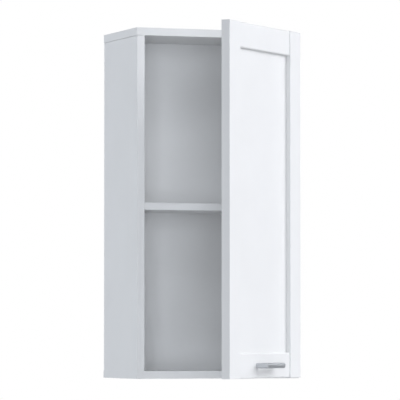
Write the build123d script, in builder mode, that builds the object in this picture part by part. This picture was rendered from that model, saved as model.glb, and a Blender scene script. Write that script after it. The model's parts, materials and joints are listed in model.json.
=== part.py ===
from build123d import *
from math import atan2, cos, degrees, radians, sin, sqrt
import os

os.makedirs("parts", exist_ok=True)

# The cabinet hangs on a wall whose face is the plane Y = 0. X runs to the right, Y into the
# wall and Z up. The origin lies midway between the two keyholes the cabinet hangs from.

# ---- Driving dimensions, in millimetres ----
WIDTH = 355
HEIGHT = 720
DEPTH = 210
BOARD = 16
BAND = 1
BAND_ROUND = 0.6
BAND_TRIM = 0.5
CAP_OVERHANG = 1
CAP_LIP = 0.5
HANG_DROP = 45
GLUE_GAP = 0.1

BACK_THICK = 3
BACK_INSET = 17
GROOVE_DEEP = 8
GROOVE_PLAY = 0.1
BACK_EDGE_GAP = 0.5

RAIL_TALL = 80
RAIL_DOWEL_DROPS = (20, 60)
PLATE_THICK = 2
PLATE_WIDE = 40
PLATE_TALL = 52
PLATE_RISE = 28
PLATE_PITCH = 230
KEYHOLE_RADIUS = 5
KEYHOLE_SLOT = 5.5
KEYHOLE_RISE = 14
POCKET_PLAY = 2
PLATE_SCREW_RISE = 20
PLATE_SCREW_DROP = 12
PLATE_SCREW_EDGE = 6
PLATE_SCREW_SHORT = 2

SHELF_TOP_RISE = 361
SHELF_THICK = 15
SHELF_SETBACK = 6
SHELF_SIDE_GAP = 0.5
SHELF_BACK_GAP = 1
PIN_RADIUS = 2.5
PIN_HOLE_DEEP = 10
PIN_STICK_OUT = 8
PIN_PITCH = 32
PIN_ROWS_SPARE = 2
FRONT_ROW = 37
REAR_ROW = 60

CAM_RADIUS = 7.5
CAM_DEEP = 12
CAM_PLAY = 0.1
CAM_INSET = 24
CAM_NECK_RADIUS = 3
CAM_NECK_PLAY = 0.5
CAM_THREAD_DEEP = 11
CAM_HEAD_PAST = 1
CAM_THROAT_PAST = 2
COVER_RADIUS = 8.5
COVER_THICK = 0.8
DOWEL_RADIUS = 4
DOWEL_HALF = 12
DOWEL_STEP = 32
DOWEL_END_GAP = 0.5

DOOR_GAP = 2
DOOR_THICK = 18
DOOR_MARGIN = 2
STILE_WIDE = 51.5
RAIL_HIGH = 51.5
RAIL_RECESS = 2.4
RAIL_ROUND = 3
STILE_ROUND = 0.8
PANEL_RECESS = 10
PANEL_THICK = 6
PANEL_HOLD = 9
PANEL_PLAY = 0.1
DOOR_DOWEL_HALF = 20
DOOR_DOWEL_OUTER = 12
DOOR_DOWEL_INNER = 32
DOOR_OPEN = 44.4

HANDLE_PITCH = 80
HANDLE_TALL = 11
HANDLE_OUT = 26
HANDLE_BAR = 8
HANDLE_ROUND = 3.5
HANDLE_THREAD = 8
HANDLE_BORE = 9
SCREW_RADIUS = 2
SCREW_PLAY = 0.05
SCREW_HEAD_RADIUS = 4
SCREW_HEAD_THICK = 2.4
BUMPER_RADIUS = 4
BUMPER_THICK = 1.6
BUMPER_IN = 20

# ---- Cup hinges: places are (in from the right side's outer face, behind the front) ----
HINGE_IN = 100
ARM_OUTER = (41, 22)
ARM_INNER = (53.5, 6)
OUTER_KNEE = (18.2, -9)
INNER_KNEE = (22, -5)
CUP_OUTER = (12, -5)
CUP_INNER = (17, -6)
LINK_TURN = -0.26
LINK_WIDE = 4.8
LINK_THICK = 4
LINK_LAYER = 0.8
LINK_PIN_RADIUS = 1.25
LINK_PIN_PLAY = 0.05
OPEN_EYE_PLAY = 1.9
OPEN_EYE_WALL = 1.1
ARM_EYE_RADIUS = 3.2
ARM_HALF_TALL = 8
ARM_WALL = 1.5
ARM_REAR = 60
ARM_FRONT = 24
ARM_WIDE = 10
PLATE_DEEP = 3
PLATE_Y = (20, 64)
WING_HALF_TALL = 24
WING_HALF_WIDE = 6
EURO_SCREW_RADIUS = 2.5
EURO_SCREW_LONG = 11
EURO_HEAD_RADIUS = 3.5
EURO_HEAD_THICK = 1.5
ARM_SCREW_BACK = (38, 50)
ARM_HEAD_RADIUS = 3.8
ARM_HEAD_THICK = 2
CUP_RADIUS = 17.5
CUP_DEEP = 12
CUP_EDGE = 22.5
CUP_PLAY = 0.1
CUP_WALL = 1.1
CUP_FLOOR = 0.8
FLANGE_THICK = 0.8
FLANGE_RADIUS = 18.5
FLANGE_HALF_TALL = 27
FLANGE_WING = (20, 37.5)
FLANGE_CORNER = 4
CUP_SCREW_PITCH = 45
CUP_SCREW_IN = 9.5
CUP_SCREW_LONG = 10
CUP_HEAD_RADIUS = 3.5
CUP_HEAD_THICK = 0.9
CUP_PIN_START = 0.4

# ---- Places worked out from them ----
LEFT = -WIDTH / 2
RIGHT = WIDTH / 2
FRONT = -DEPTH
TOP = HANG_DROP
BOTTOM = TOP - HEIGHT
CORE_FRONT = FRONT + BAND
CAP_X = (LEFT - CAP_OVERHANG, RIGHT + CAP_OVERHANG)
CAP_FRONT = FRONT - CAP_LIP
INNER_LEFT = LEFT + BOARD
INNER_RIGHT = RIGHT - BOARD
CEILING = TOP - BOARD
FLOOR = BOTTOM + BOARD
BACK_FRONT = -BACK_INSET - BACK_THICK
SHELF_TOP = BOTTOM + SHELF_TOP_RISE
SHELF_UNDER = SHELF_TOP - SHELF_THICK
SHELF_FRONT = FRONT + SHELF_SETBACK
CAM_ROWS = (FRONT + FRONT_ROW, -REAR_ROW)
HINGE_HEIGHTS = {"upper": TOP - HINGE_IN, "lower": BOTTOM + HINGE_IN}
DOWEL_ROWS = (CAM_ROWS[0] + DOWEL_STEP, CAM_ROWS[1] - DOWEL_STEP)

RIGHTWARD = (1, 0, 0)
LEFTWARD = (-1, 0, 0)
FORWARD = (0, -1, 0)
BACKWARD = (0, 1, 0)
UPWARD = (0, 0, 1)
DOWNWARD = (0, 0, -1)


def block(x, y, z, mode=Mode.ADD, frame=Plane.XY):
    """Add or cut a box from its (low, high) limits along the axes of a frame."""
    centre = ((x[0] + x[1]) / 2, (y[0] + y[1]) / 2, (z[0] + z[1]) / 2)
    with Locations(frame.location * Location(centre)):
        Box(x[1] - x[0], y[1] - y[0], z[1] - z[0], mode=mode)


def rod(start, direction, radius, length, mode=Mode.ADD, frame=Plane.XY):
    """Add or cut a round rod that leaves its start point along a direction of a frame."""
    with Locations(frame.location * Plane(origin=start, z_dir=direction).location):
        Cylinder(radius, length, align=(Align.CENTER, Align.CENTER, Align.MIN), mode=mode)


def turned(point, centre, angle):
    """Turn a point about a centre by an angle in degrees, in plan."""
    c, s = cos(radians(angle)), sin(radians(angle))
    x, y = point[0] - centre[0], point[1] - centre[1]
    return (centre[0] + c * x - s * y, centre[1] + s * x + c * y)


def hinge_place(point):
    """Return the plan position of a hinge point with the door shut."""
    return (RIGHT - point[0], FRONT + point[1])


def save(piece, label):
    """Label a finished piece and write it to its own file."""
    piece.part.label = label
    export_step(piece.part, f"parts/{label}.step")


# ---- Top and bottom boards, which cap the sides and stand a little proud of them ----
CAM_X = (LEFT + BOARD / 2, RIGHT - BOARD / 2)
GROOVE_Y = (BACK_FRONT - GROOVE_PLAY, -BACK_INSET + GROOVE_PLAY)
GROOVE_X = (INNER_LEFT - GROOVE_DEEP, INNER_RIGHT + GROOVE_DEEP)
GROOVE_Z = (FLOOR - GROOVE_DEEP, CEILING + GROOVE_DEEP)


def cap_joint_bores(z, direction):
    """Cut the cam bolt and dowel bores that a top or bottom board has over both sides."""
    for x in CAM_X:
        for row in CAM_ROWS:
            rod((x, row, z), direction, CAM_NECK_RADIUS, CAM_THREAD_DEEP, Mode.SUBTRACT)
        for row in DOWEL_ROWS:
            rod((x, row, z), direction, DOWEL_RADIUS, DOWEL_HALF, Mode.SUBTRACT)


with BuildPart() as top_panel:
    block(CAP_X, (CAP_FRONT + BAND, 0), (CEILING, TOP))
    block(GROOVE_X, GROOVE_Y, (CEILING, CEILING + GROOVE_DEEP), Mode.SUBTRACT)
    cap_joint_bores(CEILING, UPWARD)
save(top_panel, "top_panel")

with BuildPart() as bottom_panel:
    block(CAP_X, (CAP_FRONT + BAND, 0), (BOTTOM, FLOOR))
    block(GROOVE_X, GROOVE_Y, (FLOOR - GROOVE_DEEP, FLOOR), Mode.SUBTRACT)
    cap_joint_bores(FLOOR, DOWNWARD)
save(bottom_panel, "bottom_panel")

# ---- Side boards, with cams, dowels, shelf pin rows and the groove for the back ----
PIN_ROWS = (FRONT + FRONT_ROW, BACK_FRONT - FRONT_ROW)
PIN_Z = SHELF_UNDER - PIN_RADIUS
PIN_HEIGHTS = [PIN_Z + PIN_PITCH * step for step in range(-PIN_ROWS_SPARE, PIN_ROWS_SPARE + 1)]
RAIL_Z = (CEILING - RAIL_TALL, CEILING)
RAIL_Y = (-BOARD, 0)
RAIL_DOWEL_Z = [CEILING - drop for drop in RAIL_DOWEL_DROPS]


def side_bores(inner, outward):
    """Cut every bore of one side; inner is its inner face and outward leads into the board."""
    middle = inner + outward[0] * BOARD / 2
    for end, lead in ((CEILING, DOWNWARD), (FLOOR, UPWARD)):
        cam_z = end + lead[2] * CAM_INSET
        for row in CAM_ROWS:
            rod((middle, row, end), lead, CAM_NECK_RADIUS + CAM_NECK_PLAY, CAM_INSET, Mode.SUBTRACT)
            rod((inner, row, cam_z), outward, CAM_RADIUS, CAM_DEEP + CAM_PLAY, Mode.SUBTRACT)
        for row in DOWEL_ROWS:
            rod((middle, row, end), lead, DOWEL_RADIUS, DOWEL_HALF, Mode.SUBTRACT)
    for row in PIN_ROWS:
        for height in PIN_HEIGHTS:
            rod((inner, row, height), outward, PIN_RADIUS, PIN_HOLE_DEEP, Mode.SUBTRACT)
    for height in RAIL_DOWEL_Z:
        rod((inner, -BOARD / 2, height), outward, DOWEL_RADIUS, DOWEL_HALF, Mode.SUBTRACT)


with BuildPart() as left_side_panel:
    block((LEFT, INNER_LEFT), (CORE_FRONT, 0), (FLOOR, CEILING))
    block((INNER_LEFT - GROOVE_DEEP, INNER_LEFT), GROOVE_Y, (FLOOR, CEILING), Mode.SUBTRACT)
    side_bores(INNER_LEFT, LEFTWARD)
save(left_side_panel, "left_side_panel")

with BuildPart() as right_side_panel:
    block((INNER_RIGHT, RIGHT), (CORE_FRONT, 0), (FLOOR, CEILING))
    block((INNER_RIGHT, INNER_RIGHT + GROOVE_DEEP), GROOVE_Y, (FLOOR, CEILING), Mode.SUBTRACT)
    side_bores(INNER_RIGHT, RIGHTWARD)
    for hinge_z in HINGE_HEIGHTS.values():
        for screw_z in (hinge_z - PIN_PITCH / 2, hinge_z + PIN_PITCH / 2):
            screw_at = (INNER_RIGHT, FRONT + FRONT_ROW, screw_z)
            rod(screw_at, RIGHTWARD, EURO_SCREW_RADIUS, EURO_SCREW_LONG, Mode.SUBTRACT)
save(right_side_panel, "right_side_panel")

# ---- Edge bands, on the front edge of every board; the side bands end in a fine shadow line ----
BANDS = {
    "top_edge_band": (CAP_X, CAP_FRONT, (CEILING, TOP)),
    "bottom_edge_band": (CAP_X, CAP_FRONT, (BOTTOM, FLOOR)),
    "left_edge_band": ((LEFT, INNER_LEFT), FRONT, (FLOOR, CEILING - BAND_TRIM)),
    "right_edge_band": ((INNER_RIGHT, RIGHT), FRONT, (FLOOR, CEILING - BAND_TRIM)),
}
for band_name, (band_x, band_front, band_z) in BANDS.items():
    with BuildPart() as band:
        block(band_x, (band_front, band_front + BAND), band_z)
        front_edges = band.edges().group_by(Axis.Y)[0]
        fillet(front_edges, BAND_ROUND)
    save(band, band_name)

# ---- Shelf and its support pins ----
SHELF_X = (INNER_LEFT + SHELF_SIDE_GAP, INNER_RIGHT - SHELF_SIDE_GAP)
SHELF_Z = (SHELF_UNDER, SHELF_TOP)
with BuildPart() as shelf:
    block(SHELF_X, (SHELF_FRONT + BAND, BACK_FRONT - SHELF_BACK_GAP), SHELF_Z)
save(shelf, "shelf")

with BuildPart() as shelf_edge_band:
    block(SHELF_X, (SHELF_FRONT, SHELF_FRONT + BAND), SHELF_Z)
    fillet(shelf_edge_band.edges().group_by(Axis.Y)[0], BAND_ROUND)
save(shelf_edge_band, "shelf_edge_band")

with BuildPart() as shelf_pins:
    for inner, outward in ((INNER_LEFT, 1), (INNER_RIGHT, -1)):
        tip = inner - outward * PIN_HOLE_DEEP
        for row in PIN_ROWS:
            rod((tip, row, PIN_Z), (outward, 0, 0), PIN_RADIUS, PIN_HOLE_DEEP + PIN_STICK_OUT)
save(shelf_pins, "shelf_pins")

# ---- Back panel, held in the grooves, and the hanging rail behind it ----
with BuildPart() as back_panel:
    block(
        (GROOVE_X[0] + BACK_EDGE_GAP, GROOVE_X[1] - BACK_EDGE_GAP),
        (BACK_FRONT, -BACK_INSET),
        (GROOVE_Z[0] + BACK_EDGE_GAP, GROOVE_Z[1] - BACK_EDGE_GAP),
    )
save(back_panel, "back_panel")

PLATE_X = (-PLATE_PITCH / 2, PLATE_PITCH / 2)
PLATE_SCREW_Z = (PLATE_SCREW_RISE, -PLATE_SCREW_DROP)
PLATE_SCREW_OUT = PLATE_WIDE / 2 - PLATE_SCREW_EDGE
PLATE_Z = (PLATE_RISE - PLATE_TALL, PLATE_RISE)
POCKET_X = KEYHOLE_RADIUS + POCKET_PLAY
with BuildPart() as hanging_rail:
    block((INNER_LEFT, INNER_RIGHT), RAIL_Y, RAIL_Z)
    for plate_x in PLATE_X:
        block(
            (plate_x - PLATE_WIDE / 2, plate_x + PLATE_WIDE / 2),
            (-PLATE_THICK, 0),
            PLATE_Z,
            Mode.SUBTRACT,
        )
        block(
            (plate_x - POCKET_X, plate_x + POCKET_X),
            RAIL_Y,
            (-POCKET_X, KEYHOLE_RISE + POCKET_X),
            Mode.SUBTRACT,
        )
        for side in (-1, 1):
            for screw_z in PLATE_SCREW_Z:
                screw_at = (plate_x + side * PLATE_SCREW_OUT, 0, screw_z)
                rod(screw_at, FORWARD, SCREW_RADIUS, BOARD - PLATE_SCREW_SHORT, Mode.SUBTRACT)
    for inner, outward in ((INNER_LEFT, RIGHTWARD), (INNER_RIGHT, LEFTWARD)):
        for height in RAIL_DOWEL_Z:
            rod((inner, -BOARD / 2, height), outward, DOWEL_RADIUS, DOWEL_HALF, Mode.SUBTRACT)
save(hanging_rail, "hanging_rail")

# ---- Wall hanger plates: a round entry that narrows to a slot above it ----
def hanger_plate(plate_x):
    """Return one keyhole plate, flush with the wall face."""
    with BuildPart() as plate:
        with BuildSketch(Plane.XZ):
            with Locations((plate_x, (PLATE_Z[0] + PLATE_Z[1]) / 2)):
                Rectangle(PLATE_WIDE - 2 * GLUE_GAP, PLATE_TALL - 2 * GLUE_GAP)
            with Locations((plate_x, 0)):
                Circle(KEYHOLE_RADIUS, mode=Mode.SUBTRACT)
            with Locations((plate_x, KEYHOLE_RISE / 2)):
                Rectangle(KEYHOLE_SLOT, KEYHOLE_RISE, mode=Mode.SUBTRACT)
            with Locations((plate_x, KEYHOLE_RISE)):
                Circle(KEYHOLE_SLOT / 2, mode=Mode.SUBTRACT)
            for side in (-1, 1):
                for screw_z in PLATE_SCREW_Z:
                    with Locations((plate_x + side * PLATE_SCREW_OUT, screw_z)):
                        Circle(SCREW_RADIUS, mode=Mode.SUBTRACT)
        extrude(amount=PLATE_THICK)
    return plate


save(hanger_plate(PLATE_X[0]), "hanger_plate_left")
save(hanger_plate(PLATE_X[1]), "hanger_plate_right")

with BuildPart() as hanger_screws:
    for plate_x in PLATE_X:
        for side in (-1, 1):
            for screw_z in PLATE_SCREW_Z:
                screw_at = (plate_x + side * PLATE_SCREW_OUT, 0, screw_z)
                rod(screw_at, FORWARD, SCREW_RADIUS, BOARD - PLATE_SCREW_SHORT)
save(hanger_screws, "hanger_screws")

# ---- Cam fittings and dowels that hold the boards together ----
with BuildPart() as cam_bolts:
    for x in CAM_X:
        for end, lead in ((CEILING, 1), (FLOOR, -1)):
            for row in CAM_ROWS:
                head = end - lead * (CAM_INSET + CAM_HEAD_PAST)
                length = CAM_INSET + CAM_HEAD_PAST + CAM_THREAD_DEEP
                rod((x, row, head), (0, 0, lead), CAM_NECK_RADIUS, length)
save(cam_bolts, "cam_bolts")

with BuildPart() as cam_locks:
    for inner, outward in ((INNER_LEFT, -1), (INNER_RIGHT, 1)):
        for end, lead in ((CEILING, 1), (FLOOR, -1)):
            for row in CAM_ROWS:
                cam_z = end - lead * CAM_INSET
                rod((inner, row, cam_z), (outward, 0, 0), CAM_RADIUS - CAM_PLAY, CAM_DEEP)
                throat = (inner + outward * BOARD / 2, row, cam_z - lead * CAM_THROAT_PAST)
                throat_radius = CAM_NECK_RADIUS + CAM_NECK_PLAY
                rod(throat, (0, 0, lead), throat_radius, CAM_INSET, Mode.SUBTRACT)
save(cam_locks, "cam_locks")

with BuildPart() as cam_covers:
    for inner, inward in ((INNER_LEFT, 1), (INNER_RIGHT, -1)):
        for end, lead in ((CEILING, 1), (FLOOR, -1)):
            for row in CAM_ROWS:
                rod((inner, row, end - lead * CAM_INSET), (inward, 0, 0), COVER_RADIUS, COVER_THICK)
save(cam_covers, "cam_covers")

with BuildPart() as wood_dowels:
    for x in CAM_X:
        for end in (CEILING, FLOOR):
            for row in DOWEL_ROWS:
                start = (x, row, end - DOWEL_HALF + DOWEL_END_GAP)
                rod(start, UPWARD, DOWEL_RADIUS, 2 * (DOWEL_HALF - DOWEL_END_GAP))
    for inner in (INNER_LEFT, INNER_RIGHT):
        for height in RAIL_DOWEL_Z:
            start = (inner - DOWEL_HALF + DOWEL_END_GAP, -BOARD / 2, height)
            rod(start, RIGHTWARD, DOWEL_RADIUS, 2 * (DOWEL_HALF - DOWEL_END_GAP))
save(wood_dowels, "wood_dowels")

# ---- Door, built in a frame that turns with it ----
DOOR_LEFT = LEFT + DOOR_MARGIN
DOOR_RIGHT = RIGHT - DOOR_MARGIN
DOOR_Z = (BOTTOM + DOOR_MARGIN, TOP - DOOR_MARGIN)
INSIDE_FACE = FRONT - DOOR_GAP
STILE_FACE = INSIDE_FACE - DOOR_THICK
RAIL_FACE = STILE_FACE + RAIL_RECESS
PANEL_Y = (STILE_FACE + PANEL_RECESS, STILE_FACE + PANEL_RECESS + PANEL_THICK)
SLOT_Y = (PANEL_Y[0] - PANEL_PLAY, PANEL_Y[1] + PANEL_PLAY)
STILE_X = {"left": (DOOR_LEFT, DOOR_LEFT + STILE_WIDE), "right": (DOOR_RIGHT - STILE_WIDE, DOOR_RIGHT)}
RAIL_X = (STILE_X["left"][1], STILE_X["right"][0])
DOOR_RAIL_Z = {"top": (DOOR_Z[1] - RAIL_HIGH, DOOR_Z[1]), "bottom": (DOOR_Z[0], DOOR_Z[0] + RAIL_HIGH)}
FIELD_Z = (DOOR_RAIL_Z["bottom"][1], DOOR_RAIL_Z["top"][0])
HOLD_X = (RAIL_X[0] - PANEL_HOLD, RAIL_X[1] + PANEL_HOLD)
HOLD_Z = (FIELD_Z[0] - PANEL_HOLD, FIELD_Z[1] + PANEL_HOLD)
DOOR_DOWEL_Y = (RAIL_FACE + INSIDE_FACE) / 2
DOOR_DOWEL_Z = [DOOR_Z[0] + rise for rise in (DOOR_DOWEL_OUTER, DOOR_DOWEL_INNER)]
DOOR_DOWEL_Z += [DOOR_Z[1] - drop for drop in (DOOR_DOWEL_OUTER, DOOR_DOWEL_INNER)]
HANDLE_Z = (DOOR_RAIL_Z["bottom"][0] + DOOR_RAIL_Z["bottom"][1]) / 2
HANDLE_FEET = (-HANDLE_PITCH / 2, HANDLE_PITCH / 2)
HANDLE_BAR_Y = RAIL_FACE - HANDLE_OUT + HANDLE_BAR / 2

# The outer links carry the door: their cup ends swing about the arm while the door turns.
TURN = (cos(radians(DOOR_OPEN)), sin(radians(DOOR_OPEN)))
PIVOT_SHUT = hinge_place(CUP_OUTER)
PIVOT_OPEN = turned(PIVOT_SHUT, hinge_place(ARM_OUTER), LINK_TURN * DOOR_OPEN)
DOOR_ORIGIN = (
    PIVOT_OPEN[0] - TURN[0] * PIVOT_SHUT[0] + TURN[1] * PIVOT_SHUT[1],
    PIVOT_OPEN[1] - TURN[1] * PIVOT_SHUT[0] - TURN[0] * PIVOT_SHUT[1],
    0,
)
DOOR = Plane(origin=DOOR_ORIGIN, x_dir=(TURN[0], TURN[1], 0), z_dir=UPWARD)
OUT_OF_DOOR = Axis((0, 0, 0), (TURN[1], -TURN[0], 0))
CUP_X = DOOR_RIGHT - CUP_EDGE
CUP_SCREW_X = CUP_X - CUP_SCREW_IN

for stile_name, stile_x in STILE_X.items():
    with BuildPart() as stile:
        block(stile_x, (STILE_FACE, INSIDE_FACE), DOOR_Z, frame=DOOR)
        fillet(stile.edges().group_by(OUT_OF_DOOR)[-1], STILE_ROUND)
        block(HOLD_X, SLOT_Y, HOLD_Z, Mode.SUBTRACT, DOOR)
        for height in DOOR_DOWEL_Z:
            dowel_start = (RAIL_X[0] - DOOR_DOWEL_HALF, DOOR_DOWEL_Y, height)
            dowel_long = RAIL_X[1] - RAIL_X[0] + 2 * DOOR_DOWEL_HALF
            rod(dowel_start, RIGHTWARD, DOWEL_RADIUS, dowel_long, Mode.SUBTRACT, DOOR)
        if stile_name == "right":
            for hinge_z in HINGE_HEIGHTS.values():
                cup_at = (CUP_X, INSIDE_FACE, hinge_z)
                rod(cup_at, FORWARD, CUP_RADIUS, CUP_DEEP, Mode.SUBTRACT, DOOR)
                for side in (-1, 1):
                    screw_at = (CUP_SCREW_X, INSIDE_FACE, hinge_z + side * CUP_SCREW_PITCH / 2)
                    rod(screw_at, FORWARD, SCREW_RADIUS, CUP_SCREW_LONG, Mode.SUBTRACT, DOOR)
    save(stile, f"door_stile_{stile_name}")

for rail_name, rail_z in DOOR_RAIL_Z.items():
    with BuildPart() as rail:
        block(RAIL_X, (RAIL_FACE, INSIDE_FACE), rail_z, frame=DOOR)
        fillet(rail.edges().group_by(OUT_OF_DOOR)[-1].group_by(SortBy.LENGTH)[-1], RAIL_ROUND)
        block(HOLD_X, SLOT_Y, HOLD_Z, Mode.SUBTRACT, DOOR)
        for height in DOOR_DOWEL_Z:
            for joint, lead in ((RAIL_X[0], RIGHTWARD), (RAIL_X[1], LEFTWARD)):
                joint_at = (joint, DOOR_DOWEL_Y, height)
                rod(joint_at, lead, DOWEL_RADIUS, DOOR_DOWEL_HALF, Mode.SUBTRACT, DOOR)
        if rail_name == "bottom":
            for foot in HANDLE_FEET:
                screw_at = (foot, RAIL_FACE, HANDLE_Z)
                rod(screw_at, BACKWARD, SCREW_RADIUS + SCREW_PLAY, DOOR_THICK, Mode.SUBTRACT, DOOR)
    save(rail, f"door_rail_{rail_name}")

with BuildPart() as door_panel:
    block(
        (HOLD_X[0] + BACK_EDGE_GAP, HOLD_X[1] - BACK_EDGE_GAP),
        PANEL_Y,
        (HOLD_Z[0] + BACK_EDGE_GAP, HOLD_Z[1] - BACK_EDGE_GAP),
        frame=DOOR,
    )
save(door_panel, "door_panel")

with BuildPart() as door_frame_dowels:
    for joint in RAIL_X:
        for height in DOOR_DOWEL_Z:
            dowel_start = (joint - DOOR_DOWEL_HALF + DOWEL_END_GAP, DOOR_DOWEL_Y, height)
            dowel_long = 2 * (DOOR_DOWEL_HALF - DOWEL_END_GAP)
            rod(dowel_start, RIGHTWARD, DOWEL_RADIUS, dowel_long, frame=DOOR)
save(door_frame_dowels, "door_frame_dowels")

# ---- Bow handle on the bottom rail, its screws, and the bumpers that meet the left side ----
with BuildPart() as handle:
    with BuildLine(DOOR.offset(HANDLE_Z)) as bow:
        Polyline(
            (HANDLE_FEET[0], RAIL_FACE),
            (HANDLE_FEET[0], HANDLE_BAR_Y),
            (HANDLE_FEET[1], HANDLE_BAR_Y),
            (HANDLE_FEET[1], RAIL_FACE),
        )
    foot_plane = Plane(origin=bow.line @ 0, x_dir=DOOR.x_dir, z_dir=bow.line % 0)
    with BuildSketch(foot_plane):
        RectangleRounded(HANDLE_BAR, HANDLE_TALL, HANDLE_ROUND)
    sweep(transition=Transition.RIGHT)
    for foot in HANDLE_FEET:
        screw_at = (foot, RAIL_FACE, HANDLE_Z)
        rod(screw_at, FORWARD, SCREW_RADIUS, HANDLE_BORE, Mode.SUBTRACT, DOOR)
save(handle, "handle")

with BuildPart() as handle_screws:
    for foot in HANDLE_FEET:
        shank_long = INSIDE_FACE - RAIL_FACE + HANDLE_THREAD
        rod((foot, INSIDE_FACE, HANDLE_Z), FORWARD, SCREW_RADIUS, shank_long, frame=DOOR)
        rod((foot, INSIDE_FACE, HANDLE_Z), BACKWARD, SCREW_HEAD_RADIUS, SCREW_HEAD_THICK, frame=DOOR)
save(handle_screws, "handle_screws")

with BuildPart() as door_bumpers:
    for height in (FLOOR + BUMPER_IN, CEILING - BUMPER_IN):
        bumper_at = (LEFT + BOARD / 2, INSIDE_FACE, height)
        rod(bumper_at, BACKWARD, BUMPER_RADIUS, BUMPER_THICK, frame=DOOR)
save(door_bumpers, "door_bumpers")

# ---- Cup hinges: parts fixed to the right side ----
ARM_FACE = INNER_RIGHT - PLATE_DEEP
ARM_X = (ARM_FACE - ARM_WIDE, ARM_FACE)
ARM_Y = (FRONT + ARM_FRONT, FRONT + ARM_REAR)
ARM_PIVOTS = (hinge_place(ARM_OUTER), hinge_place(ARM_INNER))
WING_Y = (FRONT + FRONT_ROW - WING_HALF_WIDE, FRONT + FRONT_ROW + WING_HALF_WIDE)

for hinge_name, hinge_z in HINGE_HEIGHTS.items():
    arm_z = (hinge_z - ARM_HALF_TALL, hinge_z + ARM_HALF_TALL)
    euro_screw_z = (hinge_z - PIN_PITCH / 2, hinge_z + PIN_PITCH / 2)
    with BuildPart() as hinge_plate:
        block((ARM_FACE, INNER_RIGHT), (FRONT + PLATE_Y[0], FRONT + PLATE_Y[1]), arm_z)
        block((ARM_FACE, INNER_RIGHT), WING_Y, (hinge_z - WING_HALF_TALL, hinge_z + WING_HALF_TALL))
        for screw_z in euro_screw_z:
            screw_at = (ARM_FACE, FRONT + FRONT_ROW, screw_z)
            rod(screw_at, RIGHTWARD, EURO_SCREW_RADIUS, PLATE_DEEP, Mode.SUBTRACT)
        for screw_back in ARM_SCREW_BACK:
            screw_at = (ARM_FACE, FRONT + screw_back, hinge_z)
            rod(screw_at, RIGHTWARD, SCREW_RADIUS, PLATE_DEEP, Mode.SUBTRACT)
    save(hinge_plate, f"hinge_plate_{hinge_name}")

    with BuildPart() as hinge_arm:
        for wall_z in (arm_z[0], arm_z[1] - ARM_WALL):
            with BuildSketch(Plane.XY.offset(wall_z)):
                with Locations(*ARM_PIVOTS):
                    Circle(ARM_EYE_RADIUS)
                with Locations(((ARM_X[0] + ARM_X[1]) / 2, (ARM_Y[0] + ARM_Y[1]) / 2)):
                    Rectangle(ARM_X[1] - ARM_X[0], ARM_Y[1] - ARM_Y[0])
                make_hull()
                with Locations(*ARM_PIVOTS):
                    Circle(LINK_PIN_RADIUS, mode=Mode.SUBTRACT)
            extrude(amount=ARM_WALL)
        block((ARM_FACE - ARM_WALL, ARM_FACE), ARM_Y, arm_z)
        for screw_back in ARM_SCREW_BACK:
            screw_at = (ARM_FACE - ARM_WALL, FRONT + screw_back, hinge_z)
            rod(screw_at, RIGHTWARD, SCREW_RADIUS, ARM_WALL, Mode.SUBTRACT)
    save(hinge_arm, f"hinge_arm_{hinge_name}")

with BuildPart() as hinge_plate_screws:
    for hinge_z in HINGE_HEIGHTS.values():
        for screw_z in (hinge_z - PIN_PITCH / 2, hinge_z + PIN_PITCH / 2):
            screw_at = (ARM_FACE, FRONT + FRONT_ROW, screw_z)
            rod(screw_at, RIGHTWARD, EURO_SCREW_RADIUS, PLATE_DEEP + EURO_SCREW_LONG)
            rod(screw_at, LEFTWARD, EURO_HEAD_RADIUS, EURO_HEAD_THICK)
save(hinge_plate_screws, "hinge_plate_screws")

with BuildPart() as hinge_arm_screws:
    for hinge_z in HINGE_HEIGHTS.values():
        for screw_back in ARM_SCREW_BACK:
            screw_at = (ARM_FACE - ARM_WALL, FRONT + screw_back, hinge_z)
            rod(screw_at, RIGHTWARD, SCREW_RADIUS, ARM_WALL + PLATE_DEEP)
            rod(screw_at, LEFTWARD, ARM_HEAD_RADIUS, ARM_HEAD_THICK)
save(hinge_arm_screws, "hinge_arm_screws")

with BuildPart() as hinge_arm_pins:
    for hinge_z in HINGE_HEIGHTS.values():
        for pivot in ARM_PIVOTS:
            pin_at = (pivot[0], pivot[1], hinge_z - ARM_HALF_TALL)
            rod(pin_at, UPWARD, LINK_PIN_RADIUS, 2 * ARM_HALF_TALL)
save(hinge_arm_pins, "hinge_arm_pins")

# ---- Cup hinges: the links, each in its own layer so that they pass one another ----
LINKS = {
    "outer": (ARM_OUTER, OUTER_KNEE, CUP_OUTER, LINK_LAYER, LINK_PIN_PLAY, 0),
    "inner": (ARM_INNER, INNER_KNEE, CUP_INNER, -LINK_LAYER - LINK_THICK, OPEN_EYE_PLAY, OPEN_EYE_WALL),
}


def link_plane(pivot, height):
    """Return the plane in which a link is drawn as it lies with the door shut."""
    angle = radians(LINK_TURN * DOOR_OPEN)
    origin = (pivot[0], pivot[1], height)
    return Plane(origin=origin, x_dir=(cos(angle), sin(angle), 0), z_dir=UPWARD)


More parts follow.
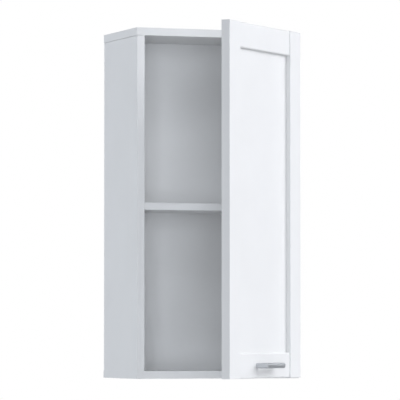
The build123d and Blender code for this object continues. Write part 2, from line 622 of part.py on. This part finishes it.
for link_name, (arm_point, knee, cup_point, layer, cup_play, eye_extra) in LINKS.items():
    pivot = hinge_place(arm_point)
    stops = [Vector(*hinge_place(point)) - Vector(*pivot) for point in (arm_point, knee, cup_point)]
    cup_hole = LINK_PIN_RADIUS + cup_play
    cup_eye = max(LINK_WIDE / 2, cup_hole + eye_extra)
    for hinge_name, hinge_z in HINGE_HEIGHTS.items():
        with BuildPart() as link:
            with BuildSketch(link_plane(pivot, hinge_z + layer)):
                for start, end in zip(stops, stops[1:]):
                    middle, run = (start + end) / 2, end - start
                    heading = degrees(atan2(run.Y, run.X))
                    with Locations((middle.X, middle.Y)):
                        SlotCenterToCenter(run.length, LINK_WIDE, rotation=heading)
                with Locations((stops[2].X, stops[2].Y)):
                    Circle(cup_eye)
                    Circle(cup_hole, mode=Mode.SUBTRACT)
                Circle(LINK_PIN_RADIUS + LINK_PIN_PLAY, mode=Mode.SUBTRACT)
            extrude(amount=LINK_THICK)
        save(link, f"{link_name}_link_{hinge_name}")

# ---- Cup hinges: parts fixed to the door ----
CUP_OUTSIDE = CUP_RADIUS - CUP_PLAY
CUP_INSIDE = CUP_RADIUS - CUP_WALL
FLANGE_Y = (INSIDE_FACE, INSIDE_FACE + FLANGE_THICK)
FLANGE_X = DOOR_RIGHT - (FLANGE_WING[0] + FLANGE_WING[1]) / 2
FLANGE_WIDE = FLANGE_WING[1] - FLANGE_WING[0]
INTO_CARCASS = (-TURN[1], TURN[0], 0)


def cup_pins(hinge_z, mode=Mode.ADD):
    """Add or cut the two pins of a cup, each held at one end in its wall, through one link."""
    for cup_point, lead in ((CUP_OUTER, 1), (CUP_INNER, -1)):
        pin_x, pin_y = hinge_place(cup_point)
        reach = sqrt(CUP_OUTSIDE**2 - (abs(pin_x - CUP_X) + LINK_PIN_RADIUS) ** 2)
        start = (pin_x, pin_y, hinge_z + lead * CUP_PIN_START)
        rod(start, (0, 0, lead), LINK_PIN_RADIUS, reach - CUP_PIN_START, mode, DOOR)


for hinge_name, hinge_z in HINGE_HEIGHTS.items():
    mouth = (CUP_X, FLANGE_Y[1], hinge_z)
    with BuildPart() as hinge_cup:
        rod(mouth, FORWARD, CUP_OUTSIDE, FLANGE_THICK + CUP_DEEP - CUP_PLAY, frame=DOOR)
        rod(mouth, FORWARD, FLANGE_RADIUS, FLANGE_THICK, frame=DOOR)
        wing_at = DOOR.from_local_coords((FLANGE_X, FLANGE_Y[0], hinge_z))
        with BuildSketch(Plane(origin=wing_at, x_dir=DOOR.x_dir, z_dir=INTO_CARCASS)):
            RectangleRounded(FLANGE_WIDE, 2 * FLANGE_HALF_TALL, FLANGE_CORNER)
        extrude(amount=FLANGE_THICK)
        hollow = FLANGE_THICK + CUP_DEEP - CUP_PLAY - CUP_FLOOR
        rod(mouth, FORWARD, CUP_INSIDE, hollow, Mode.SUBTRACT, DOOR)
        for side in (-1, 1):
            screw_at = (CUP_SCREW_X, FLANGE_Y[1], hinge_z + side * CUP_SCREW_PITCH / 2)
            rod(screw_at, FORWARD, SCREW_RADIUS, FLANGE_THICK, Mode.SUBTRACT, DOOR)
        cup_pins(hinge_z, Mode.SUBTRACT)
    save(hinge_cup, f"hinge_cup_{hinge_name}")

with BuildPart() as hinge_cup_screws:
    for hinge_z in HINGE_HEIGHTS.values():
        for side in (-1, 1):
            screw_at = (CUP_SCREW_X, FLANGE_Y[1], hinge_z + side * CUP_SCREW_PITCH / 2)
            rod(screw_at, FORWARD, SCREW_RADIUS, FLANGE_THICK + CUP_SCREW_LONG, frame=DOOR)
            rod(screw_at, BACKWARD, CUP_HEAD_RADIUS, CUP_HEAD_THICK, frame=DOOR)
save(hinge_cup_screws, "hinge_cup_screws")

with BuildPart() as hinge_cup_pins:
    for hinge_z in HINGE_HEIGHTS.values():
        cup_pins(hinge_z)
save(hinge_cup_pins, "hinge_cup_pins")
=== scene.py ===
import json
import math

import bpy
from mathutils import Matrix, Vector

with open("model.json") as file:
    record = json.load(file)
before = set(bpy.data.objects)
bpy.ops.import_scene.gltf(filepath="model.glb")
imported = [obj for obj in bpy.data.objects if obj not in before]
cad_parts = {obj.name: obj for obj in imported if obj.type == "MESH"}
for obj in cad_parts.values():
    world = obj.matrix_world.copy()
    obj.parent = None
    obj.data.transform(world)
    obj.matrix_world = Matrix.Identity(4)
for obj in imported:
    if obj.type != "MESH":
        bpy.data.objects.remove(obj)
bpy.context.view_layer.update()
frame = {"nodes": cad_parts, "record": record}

# ---- Camera, from the view of the photographed cabinet; places are in metres ----
LENS_MM = 316.16
SENSOR_MM = 36.0
CLIP_END = 100.0
VIEW_YAW = math.radians(20.34)
VIEW_TILT = math.radians(2.165)
CAMERA_AT = (-2.5533, -6.9885, -0.5809)

# ---- Finishes ----
WHITE = (1.0, 1.0, 1.0)
BOARD_WHITE = (0.78, 0.78, 0.78)
BAND_WHITE = (0.80, 0.80, 0.80)
FOIL_WHITE = (0.80, 0.80, 0.80)
BACK_WHITE = (0.82, 0.82, 0.82)
CLEAR_PLASTIC = (0.75, 0.75, 0.73)
NICKEL = (0.57, 0.585, 0.605)
STEEL = (0.66, 0.66, 0.66)
ZINC = (0.58, 0.60, 0.63)
BEECH_DARK = (0.50, 0.33, 0.19)
BEECH_LIGHT = (0.70, 0.51, 0.33)

# The door's narrow side faces get painted shade: a grey painted into their colour, darker
# than the front, for the shade that falls on them. The grey sets in over this range, from
# 0 for a face along the door's width to 1 for a face square to it.
PAINTED_EDGE_SHADE = (0.905, 0.905, 0.905)
PAINTED_SHADE_FADE = (0.85, 0.95)
# The door's angle at rest gives the direction of its width in its own coordinates.
DOOR_OPEN = math.radians(44.4)
DOOR_ACROSS = (math.cos(DOOR_OPEN), math.sin(DOOR_OPEN), 0)

# How much darker and lighter than its colour a finish gets.
MOTTLE_SHADES = (0.985, 1.01)
BRUSH_SHADES = (0.9, 1.06)


class Nodes:
    """A small helper that lays out one procedural material."""

    def __init__(self, name):
        self.material = bpy.data.materials.new(name)
        self.material.use_nodes = True
        self.tree = self.material.node_tree
        self.shader = self.tree.nodes["Principled BSDF"]
        self.place = self.add("ShaderNodeTexCoord").outputs["Object"]

    def add(self, kind, **settings):
        node = self.tree.nodes.new(kind)
        for key, value in settings.items():
            setattr(node, key, value)
        return node

    def link(self, source, target):
        self.tree.links.new(source, target)

    def stretched(self, scale):
        """Return object coordinates scaled along each axis."""
        mapping = self.add("ShaderNodeMapping")
        mapping.inputs["Scale"].default_value = scale
        self.link(self.place, mapping.inputs["Vector"])
        return mapping.outputs["Vector"]

    def noise(self, scale, detail=2.0, stretch=(1, 1, 1)):
        """Return noise whose scale counts its features in a metre, roughly."""
        node = self.add("ShaderNodeTexNoise")
        node.inputs["Scale"].default_value = scale
        node.inputs["Detail"].default_value = detail
        self.link(self.stretched(stretch), node.inputs["Vector"])
        return node.outputs["Fac"]

    def ramp(self, factor, low, high, start=0.3, end=0.7):
        """Blend two colours by a factor."""
        node = self.add("ShaderNodeValToRGB")
        node.color_ramp.elements[0].position = start
        node.color_ramp.elements[1].position = end
        node.color_ramp.elements[0].color = (*low, 1)
        node.color_ramp.elements[1].color = (*high, 1)
        self.link(factor, node.inputs["Fac"])
        return node.outputs["Color"]

    def span(self, factor, low, high):
        """Map a 0 to 1 factor onto a range."""
        node = self.add("ShaderNodeMapRange")
        node.inputs["To Min"].default_value = low
        node.inputs["To Max"].default_value = high
        self.link(factor, node.inputs["Value"])
        return node.outputs["Result"]

    def square_to(self, direction):
        """Return 1 on faces square to a direction of the node, 0 on faces along it."""
        dot = self.add("ShaderNodeVectorMath", operation="DOT_PRODUCT")
        self.link(self.add("ShaderNodeTexCoord").outputs["Normal"], dot.inputs[0])
        dot.inputs[1].default_value = direction
        size = self.add("ShaderNodeMath", operation="ABSOLUTE")
        self.link(dot.outputs["Value"], size.inputs[0])
        return size.outputs["Value"]

    def tinted(self, color, other):
        """Multiply two colours."""
        product = self.add("ShaderNodeMix", data_type="RGBA", blend_type="MULTIPLY")
        product.inputs["Factor"].default_value = 1.0
        self.link(color, product.inputs["A"])
        self.link(other, product.inputs["B"])
        return product.outputs["Result"]

    def bump(self, height, distance, strength, below=None):
        """Raise the surface by a height, on top of the bump below it."""
        node = self.add("ShaderNodeBump")
        node.inputs["Strength"].default_value = strength
        node.inputs["Distance"].default_value = distance
        self.link(height, node.inputs["Height"])
        if below is not None:
            self.link(below, node.inputs["Normal"])
        return node.outputs["Normal"]

    def paint(self, color, roughness=None, normal=None, metallic=0.0):
        """Connect the shader and return the finished material."""
        self.shader.inputs["Metallic"].default_value = metallic
        self.link(color, self.shader.inputs["Base Color"])
        if roughness is not None:
            self.link(roughness, self.shader.inputs["Roughness"])
        if normal is not None:
            self.link(normal, self.shader.inputs["Normal"])
        return self.material


def shades(color, factors):
    """Return the darker and the lighter shade of a colour."""
    return [tuple(channel * factor for channel in color) for factor in factors]


def matt(name, color, grain, depth, rough=(0.42, 0.55), shade_across=None):
    """A matt faced board or plastic: faint mottling and a fine pebbled surface."""
    nodes = Nodes(name)
    mottle = nodes.noise(scale=9.0, detail=3.0)
    tint = nodes.ramp(mottle, *shades(color, MOTTLE_SHADES))
    # Faces square to the given direction get painted shade: a grey multiplied into their
    # colour.
    if shade_across is not None:
        painted_shade = nodes.ramp(nodes.square_to(shade_across), WHITE, PAINTED_EDGE_SHADE, *PAINTED_SHADE_FADE)
        tint = nodes.tinted(tint, painted_shade)
    gloss = nodes.span(nodes.noise(scale=60.0), *rough)
    pebble = nodes.bump(nodes.noise(grain, detail=3.0), depth, strength=0.5)
    wave = nodes.noise(scale=14.0, detail=1.0)
    surface = nodes.bump(wave, distance=0.0002, strength=0.3, below=pebble)
    return nodes.paint(tint, gloss, surface)


def brushed(name, color, rough, stretch, grain=900.0):
    """Metal with fine lines, drawn out along the axes that have a small stretch."""
    nodes = Nodes(name)
    lines = nodes.noise(grain, stretch=stretch)
    tint = nodes.ramp(lines, *shades(color, BRUSH_SHADES))
    gloss = nodes.span(lines, *rough)
    surface = nodes.bump(lines, distance=0.00002, strength=0.4)
    return nodes.paint(tint, gloss, surface, metallic=1.0)


def wood(name, dark, light):
    """Plain wood with its grain along Z."""
    nodes = Nodes(name)
    grain = nodes.noise(scale=180.0, detail=4.0, stretch=(1, 1, 0.08))
    tint = nodes.ramp(grain, dark, light)
    gloss = nodes.span(grain, low=0.55, high=0.75)
    surface = nodes.bump(grain, distance=0.0001, strength=0.5)
    return nodes.paint(tint, gloss, surface)


# After its name, a matt finish has its colour, then the scale and the depth in metres of
# its pebbling, then its range of roughness, and for the door's foil the direction across
# which its side faces get painted shade.
MATERIALS = {
    "white_board": matt("white_board", BOARD_WHITE, 700.0, 0.00004),
    "white_band": matt("white_band", BAND_WHITE, 900.0, 0.00002, (0.38, 0.5)),
    "white_foil": matt("white_foil", FOIL_WHITE, 500.0, 0.00003, (0.40, 0.5), DOOR_ACROSS),
    "white_back": matt("white_back", BACK_WHITE, 350.0, 0.00005, (0.5, 0.62)),
    "white_plastic": matt("white_plastic", BOARD_WHITE, 1500.0, 0.00001, (0.35, 0.42)),
    "clear_plastic": matt("clear_plastic", CLEAR_PLASTIC, 1200.0, 0.00001, (0.2, 0.3)),
    "satin_nickel": brushed("satin_nickel", NICKEL, (0.38, 0.46), (0.05, 0.05, 1.0)),
    "hinge_steel": brushed("hinge_steel", STEEL, (0.18, 0.30), (1, 1, 0.1)),
    "zinc": brushed("zinc", ZINC, (0.32, 0.48), (1, 1, 1), 400.0),
    "beech": wood("beech_wood", BEECH_DARK, BEECH_LIGHT),
}

SLOT_OF = {part["node"]: part["material_slot"] for part in frame["record"]["subparts"]}

# ---- Softened edges: the width of the rounding for each finish, in metres ----
SOFT_EDGES = {
    "white_board": 0.0004,
    "white_band": 0.0004,
    "white_foil": 0.0005,
    "satin_nickel": 0.0006,
}
# The panel's edges lie in the grooves of the door frame.
KEPT_SHARP = "door_panel"
# Points nearer to each other than this are joined before the edges are rounded.
SAME_POINT = 0.00001
SOFT_STEPS = 3
# Edges with a gentler bend than this aren't rounded.
SHARP_ANGLE = math.radians(50)
# The larger faces next to a rounded edge set its shading.
LEVEL_WEIGHT = 100

for node_name, node in frame["nodes"].items():
    slot = SLOT_OF[node_name]
    node.data.materials.clear()
    node.data.materials.append(MATERIALS[slot])
    if slot in SOFT_EDGES and node_name != KEPT_SHARP:
        weld = node.modifiers.new("weld", "WELD")
        weld.merge_threshold = SAME_POINT
        bevel = node.modifiers.new("soft_edge", "BEVEL")
        bevel.width = SOFT_EDGES[slot]
        bevel.segments = SOFT_STEPS
        bevel.limit_method = "ANGLE"
        bevel.angle_limit = SHARP_ANGLE
        level = node.modifiers.new("level_faces", "WEIGHTED_NORMAL")
        level.weight = LEVEL_WEIGHT

# ---- Studio: pale floor, soft light and the camera ----
# All lights are squares of one size, at one distance from the point they face, in metres.
LIGHT_AIM = Vector((0, -0.2, -0.3))
LIGHT_FAR = 14.0
LIGHT_SIZE = 6.4
LEFT_TINT = (0.90, 0.943, 1.0)
RIGHT_TINT = (0.955, 0.966, 1.0)
# Each light: name, degrees to the right of straight in front, degrees above level, watts,
# colour.
LIGHTS = (
    ("right_high", 70, 30, 507.0, RIGHT_TINT),
    ("right_level", 70, 0, 437.0, RIGHT_TINT),
    ("right_wide", 95, 20, 586.0, RIGHT_TINT),
    ("key_light", 40, 32, 447.0, RIGHT_TINT),
    ("front_high", 20, 50, 326.0, RIGHT_TINT),
    ("front_level", -18, 0, 659.0, LEFT_TINT),
    ("left_high", -35, 40, 342.0, LEFT_TINT),
    ("left_low", -95, -20, 157.0, LEFT_TINT),
    ("rear_left_high", -120, 40, 1496.0, LEFT_TINT),
)
AMBIENT = (0.026, 0.028, 0.030)
FLOOR_HALF = 3.0
FLOOR_Z = -1.95
FLOOR_DARK = (0.66, 0.66, 0.66)
FLOOR_LIGHT = (0.70, 0.70, 0.70)


def add_object(name, data):
    """Make an object from its data, link it to the scene and return it."""
    made = bpy.data.objects.new(name, data)
    bpy.context.scene.collection.objects.link(made)
    return made


for light_name, across, above, power, tint in LIGHTS:
    lamp = bpy.data.lights.new(light_name, "AREA")
    lamp.size = LIGHT_SIZE
    lamp.energy = power
    lamp.color = tint
    turn = math.radians(across)
    rise = math.radians(above)
    flat = math.cos(rise)
    lead = Vector((math.sin(turn) * flat, -math.cos(turn) * flat, math.sin(rise)))
    holder = add_object(light_name, lamp)
    holder.location = LIGHT_AIM + lead * LIGHT_FAR
    holder.rotation_euler = (-lead).to_track_quat("-Z", "Y").to_euler()

floor_mesh = bpy.data.meshes.new("studio_floor")
corners = [
    (-FLOOR_HALF, -FLOOR_HALF, FLOOR_Z),
    (FLOOR_HALF, -FLOOR_HALF, FLOOR_Z),
    (FLOOR_HALF, FLOOR_HALF, FLOOR_Z),
    (-FLOOR_HALF, FLOOR_HALF, FLOOR_Z),
]
floor_mesh.from_pydata(corners, [], [(0, 1, 2, 3)])
floor = add_object("studio_floor", floor_mesh)
floor_paint = Nodes("studio_floor")
floor_tint = floor_paint.ramp(floor_paint.noise(scale=2.0), FLOOR_DARK, FLOOR_LIGHT)
floor_mesh.materials.append(floor_paint.paint(floor_tint))

# The background is white to the camera, and gives everything else only a faint glow.
world = bpy.data.worlds.new("studio")
bpy.context.scene.world = world
world.use_nodes = True
world_nodes = world.node_tree.nodes
world_links = world.node_tree.links
world_nodes.clear()
output = world_nodes.new("ShaderNodeOutputWorld")
choice = world_nodes.new("ShaderNodeMixShader")
light_path = world_nodes.new("ShaderNodeLightPath")
glow = world_nodes.new("ShaderNodeBackground")
glow.inputs["Color"].default_value = (*AMBIENT, 1)
backdrop = world_nodes.new("ShaderNodeBackground")
backdrop.inputs["Color"].default_value = (*WHITE, 1)
to_camera, elsewhere_input, camera_input = choice.inputs
world_links.new(light_path.outputs["Is Camera Ray"], to_camera)
world_links.new(glow.outputs["Background"], elsewhere_input)
world_links.new(backdrop.outputs["Background"], camera_input)
world_links.new(choice.outputs["Shader"], output.inputs["Surface"])

camera_data = bpy.data.cameras.new("camera")
camera_data.lens = LENS_MM
camera_data.sensor_width = SENSOR_MM
camera_data.clip_end = CLIP_END
camera = add_object("camera", camera_data)
camera.location = CAMERA_AT
camera.rotation_euler = (math.pi / 2 + VIEW_TILT, 0, -VIEW_YAW)
bpy.context.scene.camera = camera
bpy.context.scene.view_settings.view_transform = "Standard"
